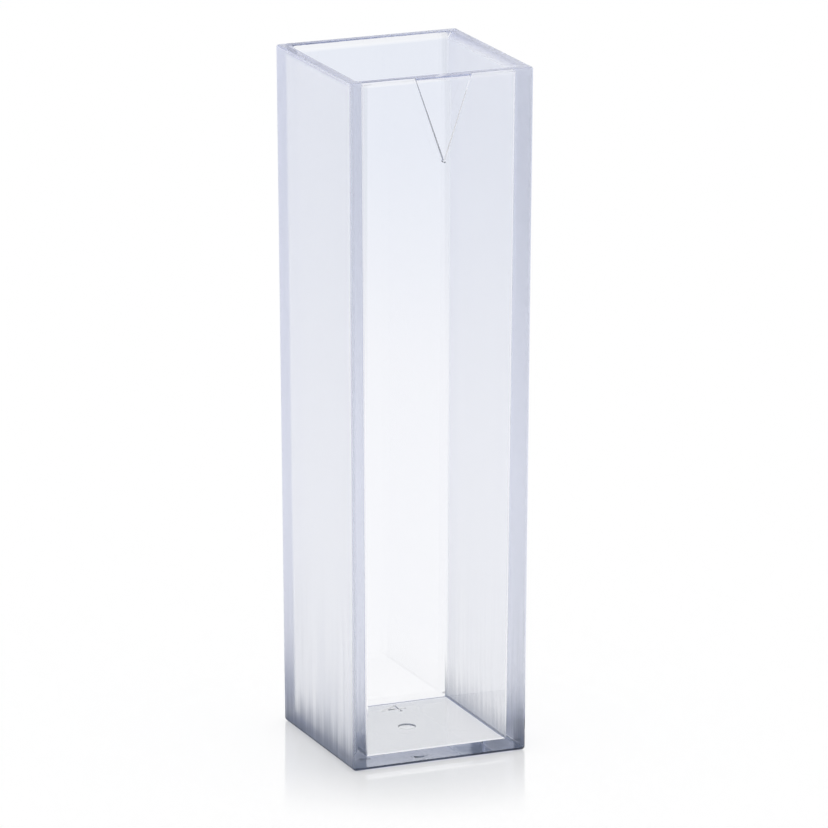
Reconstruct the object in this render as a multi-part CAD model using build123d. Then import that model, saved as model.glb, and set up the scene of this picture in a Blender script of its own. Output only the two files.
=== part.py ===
from build123d import *
import math
import os

# Shell, mm and degrees. The light path is the clear gap between facing walls
# at beam height. Both skins lean outwards going up, so that the part leaves its mould.
height = 45.0
beam_height = 15.0
light_path = 10.0
wall = 1.0665
floor_thickness = 0.7
outer_draft = 0.35
bore_draft = 0.44

# Edge rounding.
outer_corner_radius = 0.25
bore_corner_radius = 0.15
floor_fillet = 0.12
foot_round = 0.22
mouth_inner_round = 0.5
mouth_outer_round = 0.13

# Raised arrow on the front window, pointing down from the mouth. It is a shallow wedge,
# thin at the mouth and thickest at its point.
arrow_width = 3.8
arrow_length = 5.45
arrow_lift_at_mouth = 0.15
arrow_lift_at_point = 0.32
arrow_pip_radius = 0.09

# Round gate mark, sunk in the middle of the floor inside.
gate_mark_radius = 0.58
gate_mark_depth = 0.12

# Mould cavity digit, a 4 sunk in the floor inside, near the back wall.
digit_width = 1.7
digit_height = 1.3
digit_stroke = 0.22
digit_depth = 0.12
digit_offset = 0.6
digit_wall_gap = 0.5
digit_stem_from_right = 0.45
digit_bar_from_foot = 0.45

# How far a blank runs past the surface it is joined to or cut from.
overrun = 0.3


def half_outside(level):
    """Half the outside width at a height."""
    return light_path / 2 + wall + (level - beam_height) * math.tan(math.radians(outer_draft))


def half_bore(level):
    """Half the inside width at a height."""
    return light_path / 2 + (level - beam_height) * math.tan(math.radians(bore_draft))


def square_frustum(low_level, high_level, half_width):
    """Square blank between two heights, as wide at each as half_width says."""
    with BuildPart() as blank:
        for level in (low_level, high_level):
            with BuildSketch(Plane.XY.offset(level)):
                Rectangle(2 * half_width(level), 2 * half_width(level))
        loft(ruled=True)
    return blank.part


def upright_edges(solid):
    """The four long corner edges of a square blank."""
    return [edge for edge in solid.edges() if edge.length > height / 2]


def edges_at(solid, level):
    """Edges that lie wholly at one height."""
    return solid.edges().filter_by_position(Axis.Z, level - 0.001, level + 0.001)


def outer_body():
    """The outside: tapered, with rounded corners, foot and rim."""
    body = square_frustum(0, height, half_outside)
    body = fillet(upright_edges(body), outer_corner_radius)
    body = fillet(edges_at(body, 0), foot_round)
    return fillet(edges_at(body, height), mouth_outer_round)


def bore_core():
    """The mould's core: the space inside the cuvette and above its mouth."""
    core = square_frustum(floor_thickness, height + overrun, half_bore)
    core = fillet(upright_edges(core), bore_corner_radius)
    return fillet(edges_at(core, floor_thickness), floor_fillet)


def bore_mouth_edges(solid):
    """The edges where the bore meets the flat of the rim."""
    middle_of_wall = (half_bore(height) + half_outside(height)) / 2
    found = []
    for edge in edges_at(solid, height):
        middle = edge.position_at(0.5)
        if max(abs(middle.X), abs(middle.Y)) < middle_of_wall:
            found.append(edge)
    return found


def arrow_face():
    """Plane of the arrow's raised face: origin over the mouth's edge, local Y up the wall."""
    wedge = math.atan((arrow_lift_at_point - arrow_lift_at_mouth) / arrow_length)
    lean = math.radians(outer_draft) - wedge
    outward = (0, -math.cos(lean), -math.sin(lean))
    origin = (0, -half_outside(height) - arrow_lift_at_mouth, height)
    return Plane(origin=origin, x_dir=(1, 0, 0), z_dir=outward)


def arrow_pad():
    """Raised triangle on the front window, flush with the rim, with a small round pip at its point."""
    half = arrow_width / 2 * (arrow_length + overrun) / arrow_length
    with BuildPart() as pad:
        with BuildSketch(arrow_face()):
            Polygon((-half, overrun), (half, overrun), (0, -arrow_length), align=None)
            with Locations((0, -arrow_length)):
                Circle(arrow_pip_radius)
        extrude(amount=-arrow_lift_at_point - overrun)
        split(bisect_by=Plane.XY.offset(height), keep=Keep.BOTTOM)
    return pad.part


def gate_mark():
    """The disc of space that the gate mark leaves in the floor."""
    return Pos(0, 0, floor_thickness) * Cylinder(gate_mark_radius, 2 * gate_mark_depth)


def digit_bar(start, end):
    """One straight stroke of the digit, half of it below the floor."""
    length = math.dist(start, end) + digit_stroke
    angle = math.degrees(math.atan2(end[1] - start[1], end[0] - start[0]))
    middle = ((start[0] + end[0]) / 2, (start[1] + end[1]) / 2)
    return Pos(*middle, floor_thickness) * Rot(0, 0, angle) * Box(length, digit_stroke, 2 * digit_depth)


def cavity_digit():
    """The figure 4, read from the front, that tells one mould cavity from the next."""
    inset = digit_stroke / 2
    left = digit_offset - digit_width / 2 + inset
    right = digit_offset + digit_width / 2 - inset
    top = half_bore(floor_thickness) - digit_wall_gap - inset
    foot = top - digit_height + digit_stroke
    stem = right - digit_stem_from_right
    bar = foot + digit_bar_from_foot
    crossbar = digit_bar((left, bar), (right, bar))
    upright = digit_bar((stem, foot), (stem, top))
    slant = digit_bar((left, bar), (stem, top))
    return crossbar + upright + slant


cuvette = outer_body() - bore_core()
cuvette = fillet(bore_mouth_edges(cuvette), mouth_inner_round)
cuvette = cuvette + arrow_pad() - cavity_digit() - gate_mark()

os.makedirs("parts", exist_ok=True)
export_step(cuvette, "parts/cuvette_body.step")
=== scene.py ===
"""Looks for the clear moulded cuvette: its plastic, the white table it stands on, light and camera."""
import math

import bpy
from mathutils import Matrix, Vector


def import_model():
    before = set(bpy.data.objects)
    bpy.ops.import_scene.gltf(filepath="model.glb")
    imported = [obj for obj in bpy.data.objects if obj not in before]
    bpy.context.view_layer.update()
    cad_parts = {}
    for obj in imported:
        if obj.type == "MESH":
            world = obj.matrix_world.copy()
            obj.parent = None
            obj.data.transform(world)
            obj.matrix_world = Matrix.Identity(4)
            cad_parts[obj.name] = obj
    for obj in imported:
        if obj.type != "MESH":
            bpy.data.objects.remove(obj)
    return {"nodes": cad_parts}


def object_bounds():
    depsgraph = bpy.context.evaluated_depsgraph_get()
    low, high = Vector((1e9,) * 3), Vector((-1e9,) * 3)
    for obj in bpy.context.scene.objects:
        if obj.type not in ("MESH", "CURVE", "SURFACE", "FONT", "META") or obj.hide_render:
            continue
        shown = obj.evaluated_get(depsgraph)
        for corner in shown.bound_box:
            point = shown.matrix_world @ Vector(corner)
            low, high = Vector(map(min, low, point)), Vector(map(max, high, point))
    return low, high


MM = 0.001
WHITE = (1.0, 1.0, 1.0)

# Camera: a long lens in front of the left corner, a little above the object.
LENS_MM = 327.2
SENSOR_MM = 36.0
CAMERA_AZIMUTH = -22.84
CAMERA_ELEVATION = 15.28
CAMERA_DISTANCE = 481.2 * MM
CAMERA_REACH = 10.0
AIM_RIGHT = 0.634 * MM
AIM_UP = -0.944 * MM

# Clear plastic, faintly blue through its length.
PLASTIC_IOR = 1.59
ABSORPTION_COLOUR = (0.0, 0.115, 0.65)
ABSORPTION_PER_M = 13.0

# The matt skin of the two sides: upright streaks low down, even grain above.
SIDE_FROM = 5.6 * MM
SQUARELY = 0.9
MATT_LOW = 0.33
MATT_HIGH = 0.45
STREAKS_PER_M = 2200
STREAK_LENGTH = 18.0
STREAK_EDGES = (0.3, 0.7)
STREAKS_FADE = (16 * MM, 4 * MM)
GRAIN_PER_M = 3000
GRAIN_DETAIL = 3.0
GRAIN_SHARE = 0.6
SKIN_RELIEF = 0.003 * MM

# Painted shade: grey that climbs from the foot in the two side walls, higher where a streak is.
SHADE_TOP_LOW = 3.2 * MM
SHADE_TOP_HIGH = 5.0 * MM
SHADE_GREY = (0.06, 0.085, 0.14)
FLANK_FADES = (5.0 * MM, 5.2 * MM)

# Painted shade, fainter, under the mouth where the two side walls are seen end on, and on the rim.
TOP_FADES = (18 * MM, 40 * MM)
TOP_SHARE = 0.16
RIM_ABOVE = 44 * MM
RIM_SHARE = 0.2

# Painted shade on small edges that look dark: the foot's, the arrow's, the sunk marks' and the floor's
# two sides.
EDGE_SHADE = (0.01, 0.015, 0.03)
FOOT_FACING = -0.95
FOOT_EDGE_FACING = -0.1
FOOT_EDGE_TOP = 0.25 * MM
STEEP = 0.5
ARROW_IN_FRONT = -6.22 * MM
ARROW_ABOVE = 38 * MM
ARROW_SHARE = 0.8
MARK_FROM = 0.5 * MM
MARK_TO = 0.69 * MM
MARK_REACH = 4.85 * MM
MARK_SHARE = 0.6
CORNER_LINE_FROM = 0.705 * MM
CORNER_LINE_TO = 0.82 * MM
CORNER_LINE_SHARE = 0.6

# The underside: scuffed but for its right third, which is smoother.
FOOT_ROUGHNESS = 0.1
FOOT_SCUFF = 0.8
SCUFF_FADES = (3.2 * MM, 1.8 * MM)
SCUFF_PER_M = 5000
FOOT_RELIEF = 0.015 * MM

# White table: polished near the foot. Through the plastic it glows, with painted shade greyer further
# off, then white again.
TABLE_RADIUS = 1.2
TABLE_SIDES = 128
TABLE_GAP = 0.03 * MM
TABLE_PLAIN = 0.6
TABLE_IOR = 1.5
TABLE_POLISH = 1.54
TABLE_POLISH_MOST = 0.5
TABLE_POLISH_ROUGHNESS = 0.08
POLISH_FADES = (19 * MM, 7 * MM)
TABLE_FADE = 0.25
TABLE_CLEARS = (0.22, 1.1)
TABLE_SHADE_COLOURS = (
    (0.04, WHITE),
    (0.10, (0.965, 0.97, 0.985)),
    (0.25, (0.95, 0.957, 0.98)),
    (0.38, (0.93, 0.94, 0.97)),
    (0.50, (0.88, 0.90, 0.95)),
    (0.66, (0.83, 0.86, 0.93)),
    (0.85, (0.82, 0.85, 0.92)),
)

# The room: white, with grey cards for what the plastic bends or mirrors.
HORIZON_FADES = (-0.02, 0.12)
CARD_SIDE_FADES = (0.6, 0.85)
CARD_TOP_FADES = (0.5, 0.36)
CARD_ACROSS_FADES = (-0.3, 0.3)
CARD_LEFT = (0.02, 0.03, 0.05)
CARD_RIGHT = (0.18, 0.22, 0.28)
SIDE_CARD = (0.28, 0.32, 0.40)
HIGH_CARD = (0.22, 0.26, 0.32)
HIGH_CARD_FADES = (0.4, 0.8)
UNDER_ONE_BOUNCE = 0.5

# Light bounces many times inside clear plastic.
BOUNCES = 64

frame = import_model()
cad_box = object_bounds()


def rgba(colour):
    """An opaque colour for a socket."""
    return (*colour, 1.0)


def new_material(name):
    """An empty node material, with its tree and output node."""
    material = bpy.data.materials.new(name)
    material.use_nodes = True
    tree = material.node_tree
    tree.nodes.clear()
    output = tree.nodes.new("ShaderNodeOutputMaterial")
    return material, tree, output


def feed(tree, socket, value):
    """Set a socket to a number or link another socket to it."""
    if isinstance(value, (int, float)):
        socket.default_value = value
    else:
        tree.links.new(value, socket)


def math_node(tree, operation, first, second=None):
    """The output of one Math node. first and second are sockets or numbers."""
    node = tree.nodes.new("ShaderNodeMath")
    node.operation = operation
    feed(tree, node.inputs[0], first)
    if second is not None:
        feed(tree, node.inputs[1], second)
    return node.outputs[0]


def magnitude(tree, value):
    """The value without its sign."""
    return math_node(tree, "ABSOLUTE", value)


def above(tree, value, limit):
    """1 where value is over the limit, 0 elsewhere."""
    return math_node(tree, "GREATER_THAN", value, limit)


def below(tree, value, limit):
    """1 where value is under the limit, 0 elsewhere."""
    return math_node(tree, "LESS_THAN", value, limit)


def product(tree, *factors):
    """All the factors multiplied."""
    result = factors[0]
    for factor in factors[1:]:
        result = math_node(tree, "MULTIPLY", result, factor)
    return result


def between(tree, low, high, share):
    """low where share is 0, high where it is 1. low and high are numbers."""
    return math_node(tree, "ADD", product(tree, share, high - low), low)


def smooth_step(tree, value, low, high):
    """0 to 1 as value goes from low to high, eased at both ends."""
    node = tree.nodes.new("ShaderNodeMapRange")
    node.interpolation_type = "SMOOTHSTEP"
    node.inputs["From Min"].default_value = low
    node.inputs["From Max"].default_value = high
    tree.links.new(value, node.inputs["Value"])
    return node.outputs[0]


def noise(tree, where, scale, upright=1.0, detail=2.0):
    """Noise from 0 to 1, with scale blobs a metre, drawn out in height."""
    mapping = tree.nodes.new("ShaderNodeMapping")
    mapping.inputs["Scale"].default_value = (1.0, 1.0, 1.0 / upright)
    tree.links.new(where, mapping.inputs["Vector"])
    texture = tree.nodes.new("ShaderNodeTexNoise")
    texture.inputs["Scale"].default_value = scale
    texture.inputs["Detail"].default_value = detail
    tree.links.new(mapping.outputs[0], texture.inputs["Vector"])
    return texture.outputs["Fac"]


def mix_colour(tree, share, first, second):
    """first where share is 0, second where it is 1. Both are colours or sockets."""
    node = tree.nodes.new("ShaderNodeMix")
    node.data_type = "RGBA"
    feed(tree, node.inputs[0], share)
    for socket, colour in ((node.inputs[6], first), (node.inputs[7], second)):
        if isinstance(colour, tuple):
            socket.default_value = rgba(colour)
        else:
            tree.links.new(colour, socket)
    return node.outputs[2]


def mix_shader(tree, share, first, second):
    """A Mix Shader node, from first where share is 0 to second where it is 1."""
    node = tree.nodes.new("ShaderNodeMixShader")
    feed(tree, node.inputs[0], share)
    tree.links.new(first.outputs[0], node.inputs[1])
    tree.links.new(second.outputs[0], node.inputs[2])
    return node


def colour_ramp(tree, share, stops):
    """Colour by a number from 0 to 1: stops are (number, colour)."""
    ramp = tree.nodes.new("ShaderNodeValToRGB")
    tree.links.new(share, ramp.inputs[0])
    elements = ramp.color_ramp.elements
    while len(elements) < len(stops):
        elements.new(1.0)
    for element, (place, colour) in zip(elements, stops):
        element.position = place
        element.color = rgba(colour)
    return ramp.outputs[0]


def axes_of(tree, vector):
    """A vector's X, Y and Z outputs."""
    node = tree.nodes.new("ShaderNodeSeparateXYZ")
    tree.links.new(vector, node.inputs[0])
    return node.outputs


class Skin:
    """Where a point of the cuvette's skin lies: its place, its facing and masks made from them."""

    def __init__(self, tree):
        """Build the masks in the material's node tree."""
        coordinates = tree.nodes.new("ShaderNodeTexCoord")
        self.point = coordinates.outputs["Object"]
        self.place = axes_of(tree, self.point)
        facing = axes_of(tree, coordinates.outputs["Normal"])
        across = magnitude(tree, self.place["X"])
        along = magnitude(tree, self.place["Y"])
        height = self.place["Z"]
        self.side = product(
            tree, above(tree, across, SIDE_FROM), above(tree, magnitude(tree, facing["X"]), SQUARELY))
        self.flank = smooth_step(tree, across, *FLANK_FADES)
        self.window = above(tree, magnitude(tree, facing["Y"]), SQUARELY)
        self.rim = product(tree, above(tree, facing["Z"], SQUARELY), above(tree, height, RIM_ABOVE))
        self.foot = below(tree, facing["Z"], FOOT_FACING)
        self.foot_edge = product(
            tree,
            above(tree, facing["Z"], FOOT_FACING),
            below(tree, facing["Z"], FOOT_EDGE_FACING),
            below(tree, height, FOOT_EDGE_TOP))
        self.arrow_edge = product(
            tree,
            below(tree, self.place["Y"], ARROW_IN_FRONT),
            above(tree, height, ARROW_ABOVE),
            below(tree, magnitude(tree, facing["Y"]), STEEP),
            below(tree, facing["Z"], STEEP))
        self.mark_wall = product(
            tree,
            above(tree, height, MARK_FROM),
            below(tree, height, MARK_TO),
            below(tree, magnitude(tree, facing["Z"]), STEEP),
            below(tree, across, MARK_REACH),
            below(tree, along, MARK_REACH))
        self.corner_line = product(
            tree,
            above(tree, height, CORNER_LINE_FROM),
            below(tree, height, CORNER_LINE_TO),
            above(tree, across, MARK_REACH),
            below(tree, across, SIDE_FROM))


def plastic():
    """Clear polystyrene: two sides finely matt outside, painted shade greyer near the foot, on the rim
    and on small edges, a scuffed underside.
    """
    material, tree, output = new_material("clear_polystyrene")
    skin = Skin(tree)
    streaks = noise(tree, skin.point, STREAKS_PER_M, upright=STREAK_LENGTH)
    streaks = smooth_step(tree, streaks, *STREAK_EDGES)
    low_down = smooth_step(tree, skin.place["Z"], *STREAKS_FADE)
    fine = noise(tree, skin.point, GRAIN_PER_M, detail=GRAIN_DETAIL)
    skin_grain = math_node(
        tree, "ADD", product(tree, streaks, low_down), product(tree, fine, GRAIN_SHARE))
    scuff_grain = noise(tree, skin.point, SCUFF_PER_M, detail=GRAIN_DETAIL)
    scuffed = smooth_step(tree, skin.place["X"], *SCUFF_FADES)

    # Painted shade tints the clear plastic: grey climbing from the foot, fainter under the mouth and on
    # the rim.
    climb = between(tree, SHADE_TOP_LOW, SHADE_TOP_HIGH, streaks)
    grey = smooth_step(tree, math_node(tree, "DIVIDE", skin.place["Z"], climb), 1.0, 0.0)
    # Painted shade on the small dark-looking edges.
    edge_shade_share = math_node(tree, "MAXIMUM", skin.foot_edge, product(tree, skin.arrow_edge, ARROW_SHARE))
    edge_shade_share = math_node(tree, "MAXIMUM", edge_shade_share, product(tree, skin.mark_wall, MARK_SHARE))
    edge_shade_share = math_node(tree, "MAXIMUM", edge_shade_share, product(tree, skin.corner_line, CORNER_LINE_SHARE))
    elsewhere = math_node(tree, "SUBTRACT", 1.0, skin.window)
    low_shade = math_node(
        tree, "ADD", product(tree, skin.window, grey), product(tree, elsewhere, grey, grey))
    low_shade = product(tree, low_shade, skin.flank)
    high = smooth_step(tree, skin.place["Z"], *TOP_FADES)
    high_shade = math_node(
        tree, "ADD",
        product(tree, skin.window, skin.flank, high, TOP_SHARE),
        product(tree, skin.rim, RIM_SHARE))
    colour = mix_colour(tree, math_node(tree, "MAXIMUM", low_shade, high_shade), WHITE, SHADE_GREY)
    colour = mix_colour(tree, edge_shade_share, colour, EDGE_SHADE)

    side_rough = between(tree, MATT_LOW, MATT_HIGH, skin_grain)
    foot_rough = between(
        tree, FOOT_ROUGHNESS, FOOT_ROUGHNESS + FOOT_SCUFF, product(tree, scuff_grain, scuffed))
    roughness = math_node(
        tree, "ADD", product(tree, skin.side, side_rough), product(tree, skin.foot, foot_rough))
    relief = math_node(
        tree, "ADD",
        product(tree, skin.side, skin_grain, SKIN_RELIEF),
        product(tree, skin.foot, scuff_grain, FOOT_RELIEF))
    bump = tree.nodes.new("ShaderNodeBump")
    bump.inputs["Distance"].default_value = 1.0
    tree.links.new(relief, bump.inputs["Height"])

    shader = tree.nodes.new("ShaderNodeBsdfPrincipled")
    shader.inputs["Transmission Weight"].default_value = 1.0
    shader.inputs["IOR"].default_value = PLASTIC_IOR
    tree.links.new(colour, shader.inputs["Base Color"])
    tree.links.new(roughness, shader.inputs["Roughness"])
    tree.links.new(bump.outputs[0], shader.inputs["Normal"])
    tree.links.new(shader.outputs[0], output.inputs["Surface"])
    absorption = tree.nodes.new("ShaderNodeVolumeAbsorption")
    absorption.inputs["Color"].default_value = rgba(ABSORPTION_COLOUR)
    absorption.inputs["Density"].default_value = ABSORPTION_PER_M
    tree.links.new(absorption.outputs[0], output.inputs["Volume"])
    return material


def table():
    """A white table, polished near the foot, glowing for what the plastic bends, with painted shade
    greyer further off.
    """
    bpy.ops.mesh.primitive_circle_add(
        vertices=TABLE_SIDES, radius=TABLE_RADIUS, fill_type="NGON", location=(0, 0, -TABLE_GAP))
    top = bpy.context.object
    top.name = "table"
    material, tree, output = new_material("white_table")
    light_path = tree.nodes.new("ShaderNodeLightPath")
    coordinates = tree.nodes.new("ShaderNodeTexCoord")
    length = tree.nodes.new("ShaderNodeVectorMath")
    length.operation = "LENGTH"
    tree.links.new(coordinates.outputs["Object"], length.inputs[0])
    away = length.outputs["Value"]

    lit = tree.nodes.new("ShaderNodeBsdfDiffuse")
    lit.inputs["Color"].default_value = rgba(WHITE)
    plain = tree.nodes.new("ShaderNodeEmission")
    plain.inputs["Color"].default_value = rgba(WHITE)
    matt = mix_shader(tree, product(tree, light_path.outputs["Is Camera Ray"], TABLE_PLAIN), lit, plain)
    polish = tree.nodes.new("ShaderNodeBsdfGlossy")
    polish.inputs["Color"].default_value = rgba(WHITE)
    polish.inputs["Roughness"].default_value = TABLE_POLISH_ROUGHNESS
    fresnel = tree.nodes.new("ShaderNodeFresnel")
    fresnel.inputs["IOR"].default_value = TABLE_IOR
    shine = math_node(tree, "MINIMUM", product(tree, fresnel.outputs[0], TABLE_POLISH), TABLE_POLISH_MOST)
    near = smooth_step(tree, away, *POLISH_FADES)
    polished = mix_shader(tree, product(tree, near, shine), matt, polish)
    # Painted shade: seen through the plastic the table glows, greyer further off, then white again.
    through = tree.nodes.new("ShaderNodeEmission")
    far_shade = colour_ramp(tree, product(tree, away, 1 / TABLE_FADE), TABLE_SHADE_COLOURS)
    faded = smooth_step(tree, away, *TABLE_CLEARS)
    tree.links.new(mix_colour(tree, faded, far_shade, WHITE), through.inputs["Color"])
    both = mix_shader(tree, light_path.outputs["Is Transmission Ray"], polished, through)
    tree.links.new(both.outputs[0], output.inputs["Surface"])
    top.data.materials.append(material)


def cards(tree, direction):
    """What bent rays find: white near the horizon, darker cards above it in front and behind."""
    across = smooth_step(tree, magnitude(tree, direction["Y"]), *CARD_SIDE_FADES)
    under_top = smooth_step(tree, direction["Z"], *CARD_TOP_FADES)
    to_right = smooth_step(tree, direction["X"], *CARD_ACROSS_FADES)
    card = mix_colour(tree, to_right, CARD_LEFT, CARD_RIGHT)
    upper = mix_colour(tree, product(tree, across, under_top), SIDE_CARD, card)
    rise = smooth_step(tree, direction["Z"], *HORIZON_FADES)
    return mix_colour(tree, rise, WHITE, upper)


def world():
    """Soft white light from all round. Bent and mirrored rays see grey cards in it."""
    scene_world = bpy.data.worlds.new("studio")
    bpy.context.scene.world = scene_world
    scene_world.use_nodes = True
    tree = scene_world.node_tree
    tree.nodes.clear()
    output = tree.nodes.new("ShaderNodeOutputWorld")
    light_path = tree.nodes.new("ShaderNodeLightPath")
    coordinates = tree.nodes.new("ShaderNodeTexCoord")
    direction = axes_of(tree, coordinates.outputs["Generated"])
    bent = light_path.outputs["Is Transmission Ray"]
    overhead = smooth_step(tree, direction["Z"], *HIGH_CARD_FADES)
    mirrored = mix_colour(tree, overhead, WHITE, HIGH_CARD)
    seen = tree.nodes.new("ShaderNodeBackground")
    tree.links.new(mix_colour(tree, bent, mirrored, cards(tree, direction)), seen.inputs["Color"])
    light = tree.nodes.new("ShaderNodeBackground")
    light.inputs["Color"].default_value = rgba(WHITE)
    sharp = math_node(tree, "MAXIMUM", light_path.outputs["Is Glossy Ray"], bent)
    undiffused = below(tree, light_path.outputs["Diffuse Depth"], UNDER_ONE_BOUNCE)
    both = mix_shader(tree, product(tree, sharp, undiffused), light, seen)
    tree.links.new(both.outputs[0], output.inputs["Surface"])


def camera():
    """The camera, placed round the middle of the object by angle and distance."""
    middle = Vector((0.0, 0.0, cad_box[1][2] / 2))
    azimuth = math.radians(CAMERA_AZIMUTH)
    elevation = math.radians(CAMERA_ELEVATION)
    back = Vector((
        math.sin(azimuth) * math.cos(elevation),
        -math.cos(azimuth) * math.cos(elevation),
        math.sin(elevation),
    ))
    right = Vector((math.cos(azimuth), math.sin(azimuth), 0.0))
    up = back.cross(right)
    place = middle + back * CAMERA_DISTANCE
    aim = middle + right * AIM_RIGHT + up * AIM_UP
    data = bpy.data.cameras.new("camera")
    data.lens = LENS_MM
    data.sensor_width = SENSOR_MM
    data.clip_end = CAMERA_REACH
    seer = bpy.data.objects.new("camera", data)
    bpy.context.scene.collection.objects.link(seer)
    seer.location = place
    seer.rotation_euler = (aim - place).to_track_quat("-Z", "Y").to_euler()
    bpy.context.scene.camera = seer


body = frame["nodes"]["cuvette_body"]
body.data.materials.clear()
body.data.materials.append(plastic())
table()
world()
camera()
scene = bpy.context.scene
scene.view_settings.view_transform = "Standard"
scene.cycles.max_bounces = BOUNCES
scene.cycles.transmission_bounces = BOUNCES
scene.cycles.glossy_bounces = BOUNCES
scene.cycles.blur_glossy = 0.0
